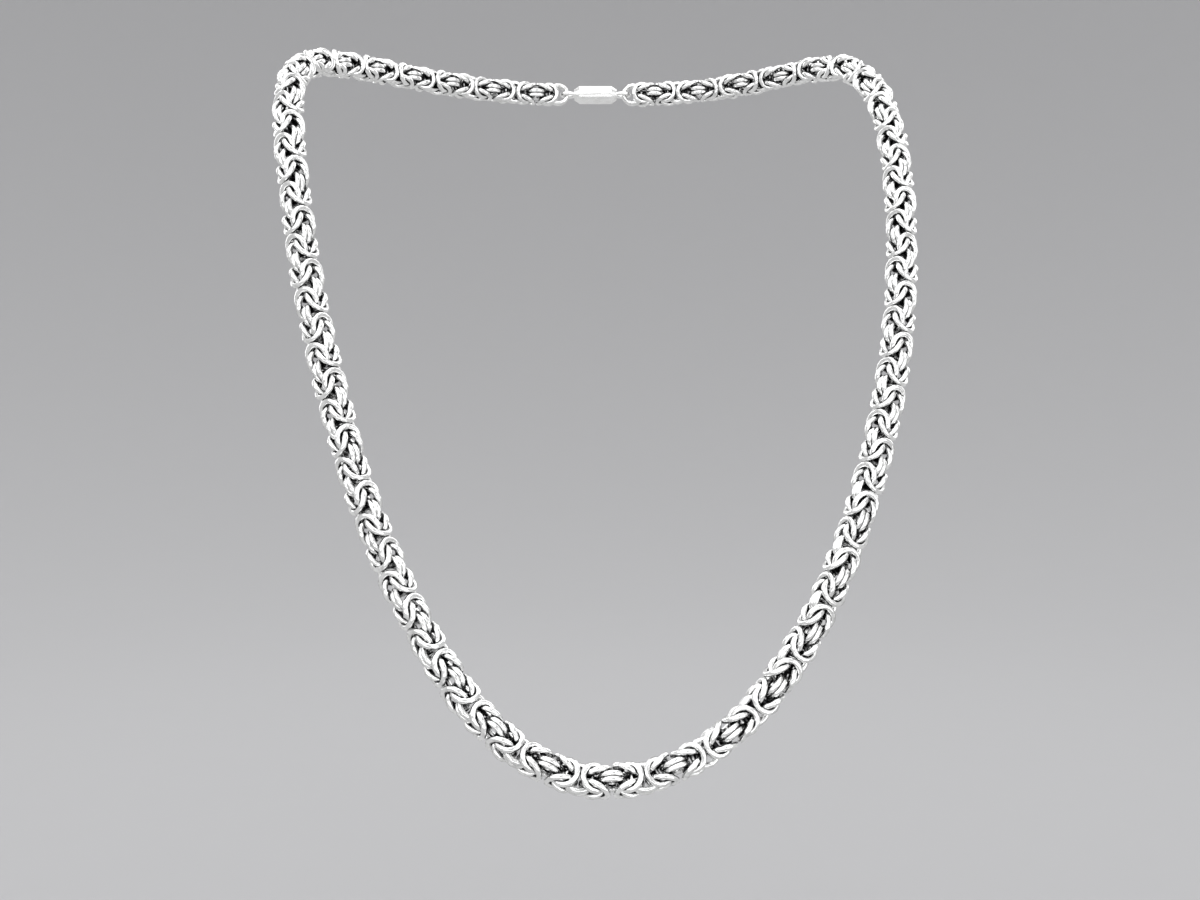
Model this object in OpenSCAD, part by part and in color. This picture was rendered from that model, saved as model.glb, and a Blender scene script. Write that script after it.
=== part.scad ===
// Necklace of byzantine weave in round silver wire, worn shape, closed by a plain barrel clasp at the nape.
// The woven chain is a smooth tube of the chain's own width along its whole length.
// X points to the viewer's right, Y to the back of the neck, Z up. The origin is the middle of the clasp.

/* [Chain] */
// Width of the chain over the links
chain_w = 7; // [6.4:0.1:7.6]
// Sides of the chain's outline
chain_sides = 12; // [8:1:16]
// Stations along the chain from one end to the other
chain_stations = 80; // [60:1:80]

/* [Clasp] */
// Length of the clasp's barrel, without its eyes
barrel_l = 12; // [10:0.5:14]
// Width of the barrel
barrel_w = 5; // [4.6:0.1:5.6]
// Length of the tapered shoulder at each end of the barrel
shoulder_l = 1.5; // [1:0.1:2]
// Width of the flat end of the barrel
barrel_end_w = 3; // [2.6:0.1:3.6]
// Outer width of the eye that the chain hangs on
eye_w = 4.8; // [4.6:0.1:5]
// Thickness of the eye's wire
eye_wire = 1; // [0.8:0.1:1.1]

/* [Hidden] */

// How far the eye's wire is sunk in the barrel's flat end, so that the two are one solid
EYE_SUNK = 0.7;
// Clearance between the clasp and each end of the chain
CLEARANCE = 0.3;
// Short steps that the route's length is added up in
STEPS_PER_SPAN = 8;

eye_out = eye_w - EYE_SUNK;
chain_end = barrel_l / 2 + eye_out + CLEARANCE;

// The route of the chain's middle, once round the neck from the nape, to the left, down the front and back.
// Each row is a point that the smooth route bends towards.
// Columns: right, back, up.
ROUTE = [
    [  0,  0.2,    0],
    [-18, -0.1,    0],
    [-38,   -8,    0],
    [-57,  -27,   -1],
    [-69,  -47,   -4],
    [-71,  -66,  -12],
    [-69,  -78,  -27],
    [-65,  -86,  -47],
    [-61,  -92,  -67],
    [-55,  -98,  -88],
    [-49, -103, -107],
    [-41, -108, -125],
    [-31, -113, -143],
    [-18, -117, -159],
    [  0, -119, -167],
    [ 19, -117, -163],
    [ 35, -113, -150],
    [ 47, -108, -132],
    [ 55, -102, -114],
    [ 62,  -93,  -95],
    [ 67,  -85,  -74],
    [ 70,  -75,  -52],
    [ 71,  -63,  -29],
    [ 70,  -49,  -12],
    [ 66,  -34,   -1],
    [ 54,  -18,    1],
    [ 37,   -6,    0],
    [ 18, -0.1,    0],
];

// A smooth closed curve drawn towards the route's points. t counts points, and 0 and len(ROUTE) are the nape.
function route_at(t) =
    let (
        count = len(ROUTE),
        whole = floor(t),
        u = t - whole,
        p0 = ROUTE[(whole - 1 + count) % count],
        p1 = ROUTE[whole % count],
        p2 = ROUTE[(whole + 1) % count],
        p3 = ROUTE[(whole + 2) % count]
    )
    (p0 * pow(1 - u, 3)
        + p1 * (3 * pow(u, 3) - 6 * pow(u, 2) + 4)
        + p2 * (-3 * pow(u, 3) + 3 * pow(u, 2) + 3 * u + 1)
        + p3 * pow(u, 3)) / 6;

// Direction of the route at t
function heading(t) =
    let (ahead = route_at(t + 0.01) - route_at(t - 0.01))
    ahead / norm(ahead);

// Length of the route up to each short step
function lengths_to(steps, i = 1, so_far = [0]) =
    i > steps
        ? so_far
        : lengths_to(steps, i + 1, concat(so_far, [
            so_far[i - 1] + norm(route_at(i / STEPS_PER_SPAN) - route_at((i - 1) / STEPS_PER_SPAN))
        ]));

steps = len(ROUTE) * STEPS_PER_SPAN;
lengths = lengths_to(steps);
route_l = lengths[steps];

// The value of t at a given length along the route
function t_at(distance) = lookup(distance, [for (i = [0:steps]) [lengths[i], i / STEPS_PER_SPAN]]);

// A direction that the whole loop runs nearly square to
LOOP_NORMAL = [0, -0.75, 0.66];

// The outline of the chain where the route is at t, square to the route.
// Outward lies in the loop's own plane, and across is square to that plane.
function ring(t) =
    let (
        along = heading(t),
        outward = cross(along, LOOP_NORMAL) / norm(cross(along, LOOP_NORMAL)),
        across = cross(along, outward)
    )
    [for (i = [0:chain_sides - 1])
        let (a = 360 * i / chain_sides)
        route_at(t) + chain_w / 2 * (outward * cos(a) + across * sin(a))];

// Joins ring after ring into one closed tube
module tube(rings) {
    sides = len(rings[0]);
    last = len(rings) - 1;
    polyhedron(
        points = [for (r = rings) for (p = r) p],
        faces = concat(
            [[for (i = [0:sides - 1]) i]],
            [for (r = [0:last - 1]) for (i = [0:sides - 1]) [
                r * sides + i,
                (r + 1) * sides + i,
                (r + 1) * sides + (i + 1) % sides,
                r * sides + (i + 1) % sides
            ]],
            [[for (i = [sides - 1:-1:0]) last * sides + i]]
        )
    );
}

// The woven chain, from one eye of the clasp round the neck to the other
module chain() {
    span = route_l - 2 * chain_end;
    color("silver")
    tube([for (i = [0:chain_stations - 1])
        ring(t_at(chain_end + span * i / (chain_stations - 1)))]);
}

// Half of the barrel's outline, from its axis outwards, turned about the barrel's length
module barrel_outline() {
    half = barrel_l / 2;
    polygon([
        [0, -half],
        [barrel_end_w / 2, -half],
        [barrel_w / 2, -half + shoulder_l],
        [barrel_w / 2, half - shoulder_l],
        [barrel_end_w / 2, half],
        [0, half],
    ]);
}

// An eye of round wire that stands up from the barrel's flat end
module eye() {
    rotate_extrude($fn = 48)
    translate([(eye_w - eye_wire) / 2, 0])
    circle(d = eye_wire, $fn = 24);
}

// The plain barrel clasp at the nape, with an eye at each end
module clasp() {
    color("silver")
    union() {
        rotate([0, 90, 0])
        rotate_extrude($fn = 64)
        barrel_outline();
        for (side = [-1, 1])
            translate([side * (barrel_l / 2 + eye_out - eye_w / 2), 0, 0])
            eye();
    }
}

chain();
clasp();
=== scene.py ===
"""Looks of a byzantine chain necklace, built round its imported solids.

The chain is woven from round silver rings along the route that the solid chain follows.
All lengths are real sizes, and 1 unit of Blender is 1 metre.
"""

import math
import random
from bisect import bisect_right

import bmesh
import bpy
import numpy as np
from bpy.props import FloatProperty, FloatVectorProperty, IntProperty, PointerProperty
from bpy.types import NodeSocket, Operator, Panel, PropertyGroup
from mathutils import Matrix, Vector
from mathutils.bvhtree import BVHTree


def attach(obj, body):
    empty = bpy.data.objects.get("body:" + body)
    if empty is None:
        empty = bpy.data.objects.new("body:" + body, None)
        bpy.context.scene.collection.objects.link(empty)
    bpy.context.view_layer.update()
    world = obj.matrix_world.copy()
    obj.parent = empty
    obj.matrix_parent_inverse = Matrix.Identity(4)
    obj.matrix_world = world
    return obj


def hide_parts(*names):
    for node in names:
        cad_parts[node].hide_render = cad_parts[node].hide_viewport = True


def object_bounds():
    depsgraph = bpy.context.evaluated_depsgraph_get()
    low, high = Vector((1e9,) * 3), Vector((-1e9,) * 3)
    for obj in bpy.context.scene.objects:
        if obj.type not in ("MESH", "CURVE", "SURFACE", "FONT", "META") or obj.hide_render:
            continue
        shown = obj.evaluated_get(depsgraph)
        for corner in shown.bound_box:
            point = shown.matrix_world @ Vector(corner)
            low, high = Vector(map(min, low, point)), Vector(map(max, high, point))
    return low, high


bl_info = {
    "name": "Byzantine Chain Necklace",
    "version": (1, 0, 0),
    "blender": (4, 5, 0),
    "location": "View3D > Sidebar > Necklace",
    "description": "Weaves a byzantine chain of round silver rings round the necklace's solids",
    "category": "Object",
}

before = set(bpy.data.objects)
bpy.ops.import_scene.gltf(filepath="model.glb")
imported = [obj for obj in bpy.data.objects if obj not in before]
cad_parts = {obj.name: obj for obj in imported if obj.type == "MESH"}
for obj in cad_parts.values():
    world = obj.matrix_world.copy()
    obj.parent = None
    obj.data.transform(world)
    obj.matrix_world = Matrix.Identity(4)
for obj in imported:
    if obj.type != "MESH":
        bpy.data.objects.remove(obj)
CAD_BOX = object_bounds()
MM = 0.001

# Points that the middle of the chain bends towards, once round the neck from the nape, in millimetres.
# Columns: right, back, up.
ROUTE_MM = (
    (0, 0.2, 0),
    (-18, -0.1, 0),
    (-38, -8, 0),
    (-57, -27, -1),
    (-69, -47, -4),
    (-71, -66, -12),
    (-69, -78, -27),
    (-65, -86, -47),
    (-61, -92, -67),
    (-55, -98, -88),
    (-49, -103, -107),
    (-41, -108, -125),
    (-31, -113, -143),
    (-18, -117, -159),
    (0, -119, -167),
    (19, -117, -163),
    (35, -113, -150),
    (47, -108, -132),
    (55, -102, -114),
    (62, -93, -95),
    (67, -85, -74),
    (70, -75, -52),
    (71, -63, -29),
    (70, -49, -12),
    (66, -34, -1),
    (54, -18, 1),
    (37, -6, 0),
    (18, -0.1, 0),
)

# A direction that the whole loop runs nearly square to. The chain's face is turned towards it.
LOOP_NORMAL = Vector((0, -0.75, 0.66)).normalized()

# How the chain lies turned about its own length, as it hangs.
# Columns: share of the way round from the nape, turn in degrees.
TURNS = (
    (0.00, -41),
    (0.10, -42),
    (0.18, -50),
    (0.24, -45),
    (0.28, -39),
    (0.32, -41),
    (0.36, -30),
    (0.40, -32),
    (0.44, -16),
    (0.48, -1),
    (0.52, 9),
    (0.56, 27),
    (0.60, 43),
    (0.64, 39),
    (0.68, 42),
    (0.73, 34),
    (0.79, 30),
    (0.88, 40),
    (1.00, 49),
)

# Short steps that the route's length is added up in
ROUTE_STEPS = 2800
# Steps on each side of a place that the route's direction is read over
HEADING_STEPS = 4

# Points on a ring's middle line where its distance to other rings is measured
SETTLE_POINTS = 48
# Share of a missing distance that each of two rings moves away in one round
SETTLE_SHARE = 0.25

# How far outside a surface its rays start, and how squarely they have to leave it
RAY_START = 0.03 * MM
RAY_SQUARENESS = 0.15

# About how many blotches or lines of each fine pattern lie along a metre
CHAIN_CLOUDS = 900
CHAIN_DENTS = 2500
CHAIN_GRAIN = 4000
CLASP_CLOUDS = 500
CLASP_HAIRLINES = 5000
PAPER_GRAIN = 40
# How many hairlines lie along the barrel, for each 1 across it
HAIRLINE_STRETCH = 0.08
# Parts of a noise pattern's range over which a finish changes
CLOUD_RANGE = (0.3, 0.6)
GRAIN_RANGE = (0.3, 0.7)
# What the deepest clouds leave of the polish
CHAIN_CLOUDED = 0.8
CLASP_CLOUDED = 0.75
# Least and most roughness that the grain adds on the chain, and the most that hairlines add on the clasp
GRAIN_ROUGHNESS = (-0.03, 0.06)
HAIRLINE_ROUGHNESS = 0.12
# How strongly the light follows the dents on the chain and the hairlines on the clasp
DENT_STRENGTH = 0.12
HAIRLINE_STRENGTH = 0.15

# The point that the lights face, near the middle of the necklace
LIT_POINT = Vector((0, -0.06, -0.07))

# Columns: name, degrees round from the front towards the right, degrees above level, metres away,
# width and height in metres, power in watts, whether it lights the floor too.
LIGHTS = (
    ("key", -36, 32, 0.95, 1.2, 0.8, 6.5, False),
    ("fill", 48, 6, 1.0, 0.7, 1.1, 4.2, False),
    ("low", 5, -18, 0.7, 1.0, 0.16, 1, False),
    ("back_left", -140, 20, 1.1, 0.7, 0.9, 3.2, False),
    ("back_right", 135, 30, 1.1, 0.7, 0.9, 3.2, False),
    ("top", 0, 90, 1.1, 1.2, 1.2, 7, True),
)

# The floor is flat to this far from the middle, then bends up into a wall with this radius
FLOOR_FLAT = 0.5
WALL_BEND = 1.9
WALL_BEND_STEPS = 24
FLOOR_SIDES = 64
PAPER_ROUGHNESS = 0.9
# Brightness of the darker paper fibres, for each 1 of the paper's own colour
PAPER_SHADE = 0.99


class ChainSettings(PropertyGroup):
    """Sizes of the rings and of one knot of the weave."""

    wire: FloatProperty(
        name="Wire", description="Thickness of the rings' wire", default=1.12 * MM, unit="LENGTH")
    ring_inside: FloatProperty(
        name="Ring inside", description="Inner width of a ring", default=3.91 * MM, unit="LENGTH")
    ring_segments: IntProperty(name="Ring segments", description="Segments round a ring", default=16)
    wire_sides: IntProperty(name="Wire sides", description="Sides of a ring's wire", default=6)
    knots: IntProperty(
        name="Knots", description="Number of knots between the clasp's eyes, which is odd", default=89)
    clasp_reach: FloatProperty(
        name="Clasp reach", description="From the clasp's middle to the middle of the first rings",
        default=10.6 * MM, unit="LENGTH")
    connector_apart: FloatProperty(
        name="Connector apart", description="From the chain's middle to each ring of a connecting pair",
        default=0.58 * MM, unit="LENGTH")
    fold_along: FloatProperty(
        name="Fold along", description="From a connecting pair to the folded pair that hangs in it",
        default=3.45 * MM, unit="LENGTH")
    fold_apart: FloatProperty(
        name="Fold apart", description="From the chain's middle to each ring of a folded pair",
        default=1.5 * MM, unit="LENGTH")
    fold_angle: FloatProperty(
        name="Fold angle", description="How far each ring of a folded pair leans out",
        default=math.radians(22), subtype="ANGLE")
    looseness: FloatProperty(
        name="Looseness", description="Largest tilt that a ring takes by chance",
        default=math.radians(6), subtype="ANGLE")
    slack: FloatProperty(
        name="Slack", description="Largest slide along the chain that a ring takes by chance",
        default=0.17 * MM, unit="LENGTH")
    twist: FloatProperty(
        name="Twist", description="Largest turn about the chain's length that a knot takes by chance",
        default=math.radians(16), subtype="ANGLE")
    settle_apart: FloatProperty(
        name="Settle apart", description="How far apart two wires' middles are pressed, in wires",
        default=1.05)
    settle_rounds: IntProperty(
        name="Settle rounds", description="How often the rings are pressed apart", default=80)
    crevice_reach: FloatProperty(
        name="Crevice reach", description="How near other wire has to lie to close a place in",
        default=2 * MM, unit="LENGTH")
    seed: IntProperty(
        name="Seed", description="Start of the chance tilts, slides, twists and tones", default=7)


class FinishSettings(PropertyGroup):
    """Colours and polish of the silver, with the painted shade deep between the rings."""

    silver: FloatVectorProperty(
        name="Silver", description="Colour of the polished silver", subtype="COLOR",
        default=(0.91, 0.912, 0.91))
    # Painted shade: the near-black colour painted on the silver deep between the rings, where shade
    # falls. The random tarnish clouds also mix a little of it in.
    tarnish_and_crevice_shade: FloatVectorProperty(
        name="Tarnish", description="Colour of the silver deep between the rings", subtype="COLOR",
        default=(0.025, 0.025, 0.027))
    worn: FloatVectorProperty(
        name="Worn silver", description="Colour of the clasp where its polish is worn", subtype="COLOR",
        default=(0.6, 0.59, 0.57))
    roughness: FloatProperty(
        name="Roughness", description="Roughness of the polished silver", default=0.2, min=0, max=1)
    # Roughness of the silver under the painted crevice shade and the tarnish clouds
    crevice_shade_and_tarnish_roughness: FloatProperty(
        name="Tarnish roughness", description="Roughness of the silver deep between the rings",
        default=0.35, min=0, max=1)
    # Where the painted crevice shade starts and where it is darkest, by how closed in a point is
    bright_until: FloatProperty(
        name="Bright until", description="Share of the view closed in up to which the silver is bright",
        default=0.52, min=0, max=1)
    dark_from: FloatProperty(
        name="Dark from", description="Share of the view closed in from which the silver is darkest",
        default=0.66, min=0, max=1)
    darkest_tone: FloatProperty(
        name="Darkest tone", description="Brightness of the darkest ring, for each 1 of the brightest",
        default=0.92, min=0, max=1)
    dent_depth: FloatProperty(
        name="Dent depth", description="Depth of the small dents and hairlines",
        default=0.02 * MM, unit="LENGTH")


class StageSettings(PropertyGroup):
    """The floor, the light and the camera."""

    floor_colour: FloatVectorProperty(
        name="Floor colour", description="Colour of the floor and its sweep", subtype="COLOR",
        default=(0.54, 0.54, 0.55))
    floor_drop: FloatProperty(
        name="Floor drop", description="From the lowest link down to the floor",
        default=55 * MM, unit="LENGTH")
    room_light: FloatProperty(name="Room light", description="Light from the whole room", default=0.85)
    room_in_silver: FloatProperty(
        name="Room in silver", description="How bright the room is where the silver mirrors it",
        default=0.68)
    focal: FloatProperty(
        name="Focal length", description="Focal length in millimetres on a 36 mm sensor", default=38.8)
    camera_place: FloatVectorProperty(
        name="Camera place", description="Where the camera stands, level and facing the back of the neck",
        subtype="TRANSLATION", unit="LENGTH", default=(1.3 * MM, -368 * MM, -101 * MM))
    camera_near: FloatProperty(
        name="Camera near", description="Nearest distance that the camera sees",
        default=10 * MM, unit="LENGTH")


def smooth_step(value, low, high):
    """0 below low, 1 above high and a smooth rise between them."""
    share = min(max((value - low) / (high - low), 0), 1)
    return share * share * (3 - 2 * share)


def turn_at(share):
    """Turn of the chain about its own length, in radians, at a share of the way round."""
    for (start, start_turn), (end, end_turn) in zip(TURNS, TURNS[1:]):
        if share <= end:
            break
    return math.radians(start_turn + (end_turn - start_turn) * smooth_step(share, start, end))


class Route:
    """The smooth closed curve that the middle of the chain follows."""

    def __init__(self):
        self.points = [Vector(point) * MM for point in ROUTE_MM]
        count = len(self.points)
        self.samples = [self.at(count * step / ROUTE_STEPS) for step in range(ROUTE_STEPS + 1)]
        self.lengths = [0.0]
        for here, there in zip(self.samples, self.samples[1:]):
            self.lengths.append(self.lengths[-1] + (there - here).length)
        self.length = self.lengths[-1]

    def at(self, t):
        """The point at t, which counts the route's points from the nape."""
        whole = math.floor(t)
        u = t - whole
        p0, p1, p2, p3 = (self.points[(whole + i) % len(self.points)] for i in (-1, 0, 1, 2))
        return (
            p0 * (1 - u) ** 3
            + p1 * (3 * u ** 3 - 6 * u ** 2 + 4)
            + p2 * (-3 * u ** 3 + 3 * u ** 2 + 3 * u + 1)
            + p3 * u ** 3
        ) / 6

    def place(self, distance, twist):
        """The point at a distance from the nape, and the directions along, out of the face and across.

        twist turns the face further than the table of turns does."""
        low = min(bisect_right(self.lengths, distance), ROUTE_STEPS) - 1
        high = low + 1
        share = (distance - self.lengths[low]) / (self.lengths[high] - self.lengths[low])
        point = self.samples[low].lerp(self.samples[high], share)
        before = self.samples[max(low - HEADING_STEPS, 0)]
        after = self.samples[min(high + HEADING_STEPS, ROUTE_STEPS)]
        along = (after - before).normalized()
        face = (LOOP_NORMAL - along * LOOP_NORMAL.dot(along)).normalized()
        face = Matrix.Rotation(turn_at(distance / self.length) + twist, 3, along) @ face
        return point, along, face, along.cross(face)


def middle_radius(settings):
    """Radius of the middle line of a ring's wire."""
    return (settings.ring_inside + settings.wire) / 2


def ring_turn(along, stack, lean, loose, chance):
    """The turn of a ring whose axis leans away from stack, with the tilts that it takes by chance."""
    normal = stack * math.cos(lean) - along * math.sin(lean)
    run = along * math.cos(lean) + stack * math.sin(lean)
    rise = normal.cross(run)
    turn = Matrix((run, rise, normal)).transposed()
    tilt = Matrix.Rotation(chance.uniform(-1, 1) * loose, 3, run)
    swing = Matrix.Rotation(chance.uniform(-1, 1) * loose, 3, rise)
    spin = Matrix.Rotation(chance.uniform(0, 2 * math.pi), 3, "Z")
    return tilt @ swing @ turn @ spin


def weave(route, settings):
    """Place of every ring, as a matrix that turns a ring lying flat at the origin into it.

    A knot is a connecting pair and two folded pairs. The first folded pair hangs in the
    connecting pair, the second in the next knot's, and the two hang in each other.
    Each knot is turned a quarter from the one before."""
    chance = random.Random(settings.seed)
    pitch = (route.length - 2 * settings.clasp_reach) / settings.knots
    # Columns: distance along the knot, distance from the middle, lean, stacked towards the face
    pairs = (
        (0, settings.connector_apart, 0, True),
        (settings.fold_along, settings.fold_apart, settings.fold_angle, False),
        (pitch - settings.fold_along, settings.fold_apart, -settings.fold_angle, True),
    )
    # The twist that each knot starts with, which is none at the clasp
    twists = [0, *(chance.uniform(-1, 1) * settings.twist for _ in range(settings.knots - 1)), 0]
    places = []
    for knot in range(settings.knots + 1):
        last = knot == settings.knots
        next_twist = 0 if last else twists[knot + 1]
        for distance, apart, lean, faces in pairs[:1] if last else pairs:
            twist = twists[knot] + (next_twist - twists[knot]) * distance / pitch
            point, along, face, across = route.place(
                settings.clasp_reach + pitch * knot + distance, twist)
            stack = face if faces == (knot % 2 == 0) else across
            # The clasp holds the end pairs straight
            held = last or (knot == 0 and distance == 0)
            loose = 0 if held else settings.looseness
            slack = 0 if held else settings.slack
            for side in (-1, 1):
                placed = ring_turn(along, stack, side * lean, loose, chance).to_4x4()
                slide = along * (chance.uniform(-1, 1) * slack)
                placed.translation = point + stack * (side * apart) + slide
                places.append(placed)
    return places


def nearest_points(near, far):
    """For each pair of rings, the two of their points that lie nearest to each other."""
    squares = (
        (near ** 2).sum(axis=2)[:, :, None] + (far ** 2).sum(axis=2)[:, None]
        - 2 * near @ far.transpose(0, 2, 1))
    closest = squares.reshape(len(near), -1).argmin(axis=1)
    pairs = np.arange(len(near))
    count = far.shape[1]
    return near[pairs, closest // count], far[pairs, closest % count]


def settle(places, settings):
    """Press the rings apart where a bend or chance makes one cut into another.

    Works on the rings' middle lines, and leaves the end pairs where the clasp holds them."""
    radius = middle_radius(settings)
    enough = settings.wire * settings.settle_apart
    angles = np.linspace(0, 2 * np.pi, SETTLE_POINTS, endpoint=False)
    circle = radius * np.stack((np.cos(angles), np.sin(angles), 0 * angles), axis=1)
    centres = np.array([place.translation for place in places])
    turns = np.array([place.to_3x3() for place in places])
    apart = np.linalg.norm(centres[:, None] - centres[None], axis=2)
    firsts, seconds = np.nonzero(np.triu(apart < 2 * radius + settings.wire, 1))
    for _ in range(settings.settle_rounds):
        points = centres[:, None] + circle @ turns.transpose(0, 2, 1)
        near, far = nearest_points(points[firsts], points[seconds])
        between = near - far
        distance = np.linalg.norm(between, axis=1, keepdims=True)
        push = between / distance * np.maximum(enough - distance, 0) * SETTLE_SHARE
        # Each push moves a ring, and turns it about its own middle
        shift = np.zeros_like(centres)
        spin = np.zeros_like(centres)
        for rings, touch, force in ((firsts, near, push), (seconds, far, -push)):
            np.add.at(shift, rings, force)
            np.add.at(spin, rings, np.cross(touch - centres[rings], force) / radius ** 2)
        for move in (shift, spin):
            move[:2] = 0
            move[-2:] = 0
        centres += shift
        turns += np.cross(spin[:, :, None], turns, axis=1)
        turns = np.array([Matrix(turn).to_quaternion().normalized().to_matrix() for turn in turns])
    settled = []
    for centre, turn in zip(centres, turns):
        place = Matrix(turn).to_4x4()
        place.translation = centre
        settled.append(place)
    return settled


def corner_key(face, count):
    """A number of its own for each face of a mesh with count vertices, from its corners' indices."""
    key = len(face.verts)
    for index in sorted(v.index for v in face.verts):
        key = key * count + index
    return key


def smooth_mesh(bm, name):
    """The mesh of a finished bmesh, with its faces shaded smooth.

    A spin leaves its faces in another order each run, so they are sorted."""
    bm.verts.index_update()
    count = len(bm.verts)
    bm.faces.sort(key=lambda face: corner_key(face, count))
    for face in bm.faces:
        face.smooth = True
    mesh = bpy.data.meshes.new(name)
    bm.to_mesh(mesh)
    bm.free()
    return mesh


def ring_mesh(settings):
    """One closed ring of round wire, lying flat at the origin."""
    # A polygon with as much area as the round wire
    sector = 2 * math.pi / settings.wire_sides
    corner = settings.wire / 2 * math.sqrt(sector / math.sin(sector))
    bm = bmesh.new()
    bmesh.ops.create_circle(bm, segments=settings.wire_sides, radius=corner)
    bmesh.ops.rotate(bm, verts=bm.verts, matrix=Matrix.Rotation(math.pi / 2, 3, "X"))
    bmesh.ops.translate(bm, verts=bm.verts, vec=(middle_radius(settings), 0, 0))
    bmesh.ops.spin(
        bm, geom=bm.verts[:] + bm.edges[:], axis=(0, 0, 1), cent=(0, 0, 0),
        angle=2 * math.pi, steps=settings.ring_segments, use_merge=True)
    bmesh.ops.recalc_face_normals(bm, faces=bm.faces)
    return smooth_mesh(bm, "ring")


def closed_in(mesh, reach):
    """How much of the view outwards from each point other wire blocks within reach, from 0 to 1."""
    points = [v.co.copy() for v in mesh.vertices]
    tree = BVHTree.FromPolygons(points, [tuple(p.vertices) for p in mesh.polygons])
    steps = (-1, 0, 1)
    rays = [Vector((x, y, z)).normalized() for x in steps for y in steps for z in steps if x or y or z]
    shares = []
    for point, normal in zip(points, (v.normal for v in mesh.vertices)):
        start = point + normal * RAY_START
        blocked = 0.0
        total = 0.0
        for ray in rays:
            squareness = ray.dot(normal)
            if squareness > RAY_SQUARENESS:
                total += squareness
                if tree.ray_cast(start, ray, reach)[0] is not None:
                    blocked += squareness
        shares.append(blocked / total)
    return shares


def add_attributes(mesh, settings, rings):
    """How closed in each point is, which the painted shade between the rings follows, and one tone for
    each ring.
    """
    closed = mesh.attributes.new("closed_in", "FLOAT", "POINT")
    closed.data.foreach_set("value", closed_in(mesh, settings.crevice_reach))
    chance = random.Random(settings.seed + 1)
    per_ring = len(mesh.vertices) // rings
    tones = [chance.random() for _ in range(rings)]
    tone = mesh.attributes.new("tone", "FLOAT", "POINT")
    tone.data.foreach_set("value", [tones[i // per_ring] for i in range(len(mesh.vertices))])


class Finish:
    """A material in the making, with short ways to add nodes to it."""

    def __init__(self, name, metallic):
        self.material = bpy.data.materials.new(name)
        self.material.use_nodes = True
        self.nodes = self.material.node_tree.nodes
        self.links = self.material.node_tree.links
        self.shader = self.nodes["Principled BSDF"]
        self.coordinates = self.nodes.new("ShaderNodeTexCoord").outputs["Object"]
        self.give("Metallic", metallic)

    def feed(self, socket, value):
        """Link a value that another node gives, or set a constant on the socket."""
        if isinstance(value, NodeSocket):
            self.links.new(value, socket)
        else:
            socket.default_value = value

    def give(self, name, value):
        """Feed one of the shader's own sockets."""
        self.feed(self.shader.inputs[name], value)

    def attribute(self, name):
        """A number that the mesh carries at each point."""
        node = self.nodes.new("ShaderNodeAttribute")
        node.attribute_name = name
        return node.outputs["Fac"]

    def stretched(self, scale):
        """The coordinates, scaled by a different number each way."""
        node = self.nodes.new("ShaderNodeMapping")
        node.inputs["Scale"].default_value = scale
        self.links.new(self.coordinates, node.inputs["Vector"])
        return node.outputs["Vector"]

    def noise(self, scale, detail=3, coordinates=None):
        """A noise pattern. It reads the piece's own coordinates, unless others are given."""
        node = self.nodes.new("ShaderNodeTexNoise")
        self.links.new(
            self.coordinates if coordinates is None else coordinates, node.inputs["Vector"])
        node.inputs["Scale"].default_value = scale
        node.inputs["Detail"].default_value = detail
        return node.outputs["Fac"]

    def ramp(self, value, start, end, at_start, at_end):
        """A smooth change from at_start to at_end while the value goes from start to end."""
        node = self.nodes.new("ShaderNodeMapRange")
        node.interpolation_type = "SMOOTHSTEP"
        self.links.new(value, node.inputs["Value"])
        node.inputs["From Min"].default_value = start
        node.inputs["From Max"].default_value = end
        node.inputs["To Min"].default_value = at_start
        node.inputs["To Max"].default_value = at_end
        return node.outputs["Result"]

    def combine(self, operation, first, second):
        """Two numbers put together by a sum, such as MULTIPLY or ADD."""
        node = self.nodes.new("ShaderNodeMath")
        node.operation = operation
        self.links.new(first, node.inputs[0])
        self.links.new(second, node.inputs[1])
        return node.outputs["Value"]

    def mix(self, factor, first, second, blend_type="MIX"):
        """Two colours mixed by a factor."""
        node = self.nodes.new("ShaderNodeMix")
        node.data_type = "RGBA"
        node.blend_type = blend_type
        self.feed(node.inputs["Factor"], factor)
        self.feed(node.inputs["A"], first)
        self.feed(node.inputs["B"], second)
        return node.outputs["Result"]

    def bump(self, height, strength, depth):
        """Small dents that follow a height pattern."""
        node = self.nodes.new("ShaderNodeBump")
        node.inputs["Strength"].default_value = strength
        node.inputs["Distance"].default_value = depth
        self.links.new(height, node.inputs["Height"])
        self.give("Normal", node.outputs["Normal"])


def chain_silver(settings):
    """Polished silver with painted shade, near black, deep between the rings, with a tone of its own on
    each ring.
    """
    finish = Finish("chain_silver", metallic=1)
    # Painted shade: where other wire closes a point in, the colour goes towards near black in place of
    # real shading
    in_the_open = finish.ramp(
        finish.attribute("closed_in"), settings.bright_until, settings.dark_from, 1, 0)
    unclouded = finish.ramp(finish.noise(CHAIN_CLOUDS), *CLOUD_RANGE, CHAIN_CLOUDED, 1)
    # polished is low in the painted crevice shade and in the random tarnish clouds, and it sets both the
    # colour and the roughness
    polished = finish.combine("MULTIPLY", in_the_open, unclouded)
    colour = finish.mix(polished, (*settings.tarnish_and_crevice_shade, 1), (*settings.silver, 1))
    tone = finish.ramp(finish.attribute("tone"), 0, 1, settings.darkest_tone, 1)
    finish.give("Base Color", finish.mix(1, colour, tone, "MULTIPLY"))

    roughness = finish.ramp(polished, 0, 1, settings.crevice_shade_and_tarnish_roughness, settings.roughness)
    grain = finish.ramp(finish.noise(CHAIN_GRAIN, detail=2), *GRAIN_RANGE, *GRAIN_ROUGHNESS)
    finish.give("Roughness", finish.combine("ADD", roughness, grain))
    finish.bump(finish.noise(CHAIN_DENTS), DENT_STRENGTH, settings.dent_depth)
    return finish.material


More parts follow.
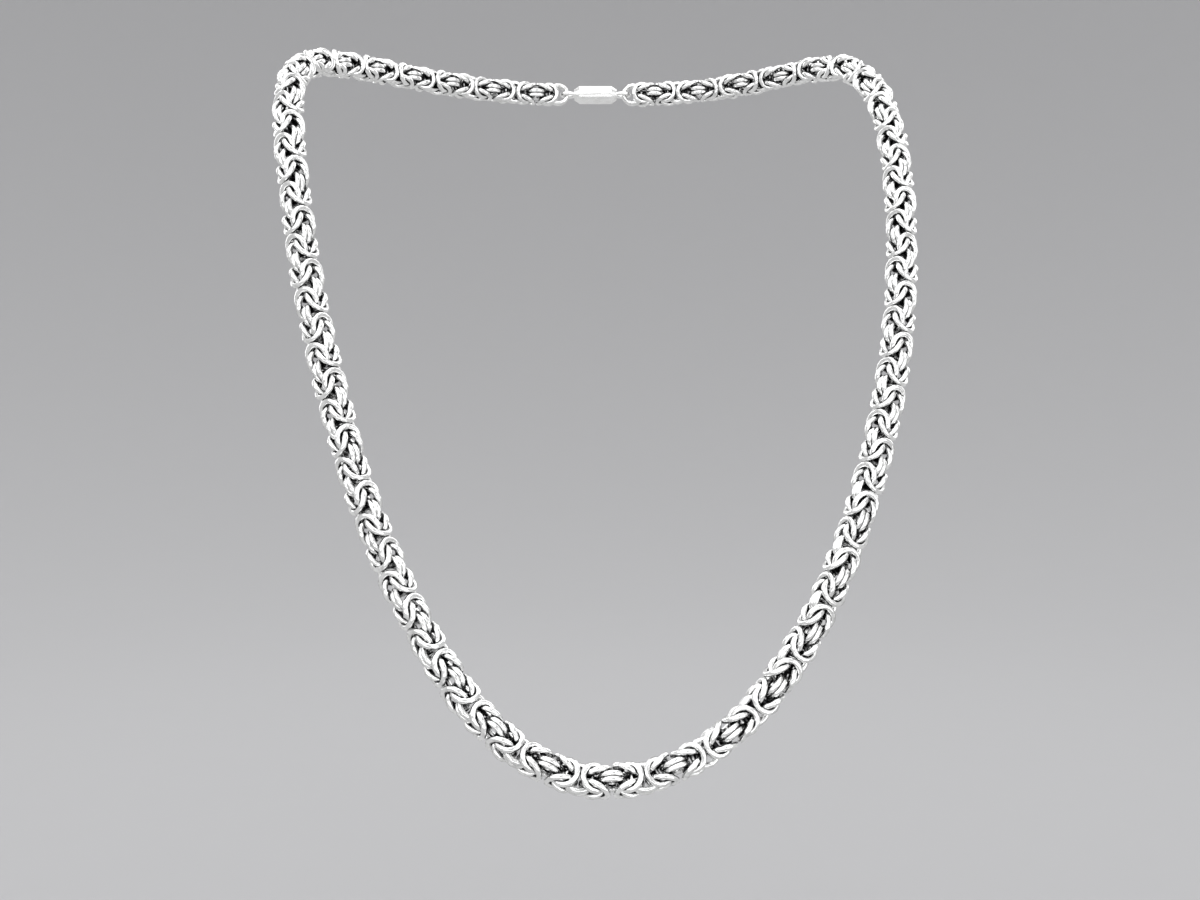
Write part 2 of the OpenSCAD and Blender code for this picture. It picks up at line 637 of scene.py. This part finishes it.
def clasp_silver(settings):
    """Polished silver with fine hairlines along the barrel."""
    finish = Finish("clasp_silver", metallic=1)
    unclouded = finish.ramp(finish.noise(CLASP_CLOUDS), *CLOUD_RANGE, CLASP_CLOUDED, 1)
    finish.give("Base Color", finish.mix(unclouded, (*settings.worn, 1), (*settings.silver, 1)))

    lengthwise = finish.stretched((HAIRLINE_STRETCH, 1, 1))
    hairlines = finish.noise(CLASP_HAIRLINES, detail=4, coordinates=lengthwise)
    finish.give("Roughness", finish.ramp(
        hairlines, *GRAIN_RANGE, settings.roughness, settings.roughness + HAIRLINE_ROUGHNESS))
    finish.bump(hairlines, HAIRLINE_STRENGTH, settings.dent_depth)
    return finish.material


def floor_paper(colour):
    """Plain pale matt paper."""
    finish = Finish("floor_paper", metallic=0)
    finish.give("Roughness", PAPER_ROUGHNESS)
    darker = [channel * PAPER_SHADE for channel in colour]
    finish.give("Base Color", finish.mix(finish.noise(PAPER_GRAIN), (*darker, 1), (*colour, 1)))
    return finish.material


def show(name, mesh, material):
    """A new object in the scene with that mesh and material."""
    mesh.name = name
    mesh.materials.clear()
    mesh.materials.append(material)
    piece = bpy.data.objects.new(name, mesh)
    bpy.context.scene.collection.objects.link(piece)
    return piece


class NECKLACE_OT_chain(Operator):
    """Weave the whole chain from single rings, from one eye of the clasp to the other"""

    bl_idname = "necklace.chain"
    bl_label = "Weave the chain"

    def execute(self, context):
        settings = context.scene.necklace_chain
        places = settle(weave(Route(), settings), settings)
        ring = ring_mesh(settings)
        bm = bmesh.new()
        for place in places:
            placed = ring.copy()
            placed.transform(place)
            bm.from_mesh(placed)
            bpy.data.meshes.remove(placed)
        mesh = bpy.data.meshes.new("woven_chain")
        bm.to_mesh(mesh)
        bm.free()
        bpy.data.meshes.remove(ring)
        add_attributes(mesh, settings, len(places))
        piece = show("woven_chain", mesh, chain_silver(context.scene.necklace_finish))
        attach(piece, "root")
        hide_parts("chain")
        return {"FINISHED"}


class NECKLACE_OT_clasp(Operator):
    """Give the solid clasp its silver finish"""

    bl_idname = "necklace.clasp"
    bl_label = "Finish the clasp"

    def execute(self, context):
        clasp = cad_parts["clasp"]
        clasp.data.materials.clear()
        clasp.data.materials.append(clasp_silver(context.scene.necklace_finish))
        return {"FINISHED"}


def sweep_mesh(floor_z):
    """A round floor whose edge curves up into a wall, all round the necklace."""
    bm = bmesh.new()
    profile = [Vector((0, 0, floor_z)), Vector((FLOOR_FLAT, 0, floor_z))]
    for step in range(1, WALL_BEND_STEPS + 1):
        angle = math.pi / 2 * step / WALL_BEND_STEPS
        outwards = FLOOR_FLAT + WALL_BEND * math.sin(angle)
        profile.append(Vector((outwards, 0, floor_z + WALL_BEND * (1 - math.cos(angle)))))
    verts = [bm.verts.new(point) for point in profile]
    for here, there in zip(verts, verts[1:]):
        bm.edges.new((here, there))
    bmesh.ops.spin(
        bm, geom=bm.verts[:] + bm.edges[:], axis=(0, 0, 1), cent=(0, 0, 0),
        angle=2 * math.pi, steps=FLOOR_SIDES, use_merge=True)
    # The middle of the floor is one point
    bmesh.ops.remove_doubles(bm, verts=bm.verts, dist=0.1 * MM)
    bmesh.ops.recalc_face_normals(bm, faces=bm.faces)
    # It is seen from above and inside, so its faces point there
    bmesh.ops.reverse_faces(bm, faces=bm.faces)
    return smooth_mesh(bm, "floor")


def add_floor(settings):
    """The floor, which the silver doesn't mirror."""
    floor = show(
        "floor", sweep_mesh(CAD_BOX[0].z - settings.floor_drop), floor_paper(settings.floor_colour))
    floor.visible_glossy = False
    return floor


def area_light(name, turn, rise, away, width, height, power):
    """A soft rectangular light that faces the middle of the necklace."""
    light = bpy.data.lights.new(name, "AREA")
    light.shape = "RECTANGLE"
    light.size = width
    light.size_y = height
    light.energy = power
    lamp = bpy.data.objects.new(name, light)
    turn = math.radians(turn)
    rise = math.radians(rise)
    outward = Vector((
        math.sin(turn) * math.cos(rise), -math.cos(turn) * math.cos(rise), math.sin(rise)))
    lamp.location = LIT_POINT + outward * away
    lamp.rotation_euler = outward.to_track_quat("Z", "Y").to_euler()
    lamp.visible_camera = False
    bpy.context.scene.collection.objects.link(lamp)
    return lamp


def add_lights(floor):
    """All the lights. Most of them pass over the floor, so that none draws its edge there."""
    unlit = bpy.data.collections.new("unlit_floor")
    unlit.objects.link(floor)
    unlit.collection_objects[0].light_linking.link_state = "EXCLUDE"
    for *light, lights_floor in LIGHTS:
        lamp = area_light(*light)
        if not lights_floor:
            lamp.light_linking.receiver_collection = unlit


def studio_world(room_light, room_in_silver):
    """Even light from the whole room. The silver mirrors less of it, so that it keeps its depth."""
    world = bpy.data.worlds.new("studio")
    world.use_nodes = True
    nodes = world.node_tree.nodes
    links = world.node_tree.links
    path = nodes.new("ShaderNodeLightPath")
    strength = nodes.new("ShaderNodeMix")
    strength.inputs["A"].default_value = room_light
    strength.inputs["B"].default_value = room_in_silver
    links.new(path.outputs["Is Glossy Ray"], strength.inputs["Factor"])
    links.new(strength.outputs["Result"], nodes["Background"].inputs["Strength"])
    nodes["Background"].inputs["Color"].default_value = (1, 1, 1, 1)
    return world


def add_camera(scene, settings):
    """A level camera in front of the necklace, at the photo's angle."""
    camera = bpy.data.cameras.new("camera")
    camera.lens = settings.focal
    camera.clip_start = settings.camera_near
    viewer = bpy.data.objects.new("camera", camera)
    viewer.location = settings.camera_place
    viewer.rotation_euler = (math.pi / 2, 0, 0)
    scene.collection.objects.link(viewer)
    scene.camera = viewer


class NECKLACE_OT_stage(Operator):
    """Set the pale floor, the soft studio light and the camera"""

    bl_idname = "necklace.stage"
    bl_label = "Set the stage"

    def execute(self, context):
        scene = context.scene
        settings = scene.necklace_stage
        add_lights(add_floor(settings))
        scene.world = studio_world(settings.room_light, settings.room_in_silver)
        scene.view_settings.view_transform = "Standard"
        add_camera(scene, settings)
        return {"FINISHED"}


class NECKLACE_PT_panel(Panel):
    """Sizes, finishes and steps of the necklace"""

    bl_idname = "NECKLACE_PT_panel"
    bl_label = "Byzantine Chain Necklace"
    bl_space_type = "VIEW_3D"
    bl_region_type = "UI"
    bl_category = "Necklace"

    def draw(self, context):
        scene = context.scene
        for group in (scene.necklace_chain, scene.necklace_finish, scene.necklace_stage):
            box = self.layout.box()
            for name in group.bl_rna.properties.keys():
                if name not in ("rna_type", "name"):
                    box.prop(group, name)
        for step in STEPS:
            self.layout.operator(step.bl_idname)


STEPS = (NECKLACE_OT_stage, NECKLACE_OT_chain, NECKLACE_OT_clasp)
CLASSES = (ChainSettings, FinishSettings, StageSettings, *STEPS, NECKLACE_PT_panel)


def register():
    """Adds the settings, the steps and the panel to Blender."""
    for cls in CLASSES:
        bpy.utils.register_class(cls)
    bpy.types.Scene.necklace_chain = PointerProperty(type=ChainSettings)
    bpy.types.Scene.necklace_finish = PointerProperty(type=FinishSettings)
    bpy.types.Scene.necklace_stage = PointerProperty(type=StageSettings)


def unregister():
    """Takes them out again."""
    del bpy.types.Scene.necklace_stage
    del bpy.types.Scene.necklace_finish
    del bpy.types.Scene.necklace_chain
    for cls in reversed(CLASSES):
        bpy.utils.unregister_class(cls)


def main():
    """Registers the add-on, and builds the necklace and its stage."""
    register()
    bpy.ops.necklace.stage()
    bpy.ops.necklace.chain()
    bpy.ops.necklace.clasp()
    bpy.context.view_layer.update()


if __name__ == "__main__":
    main()
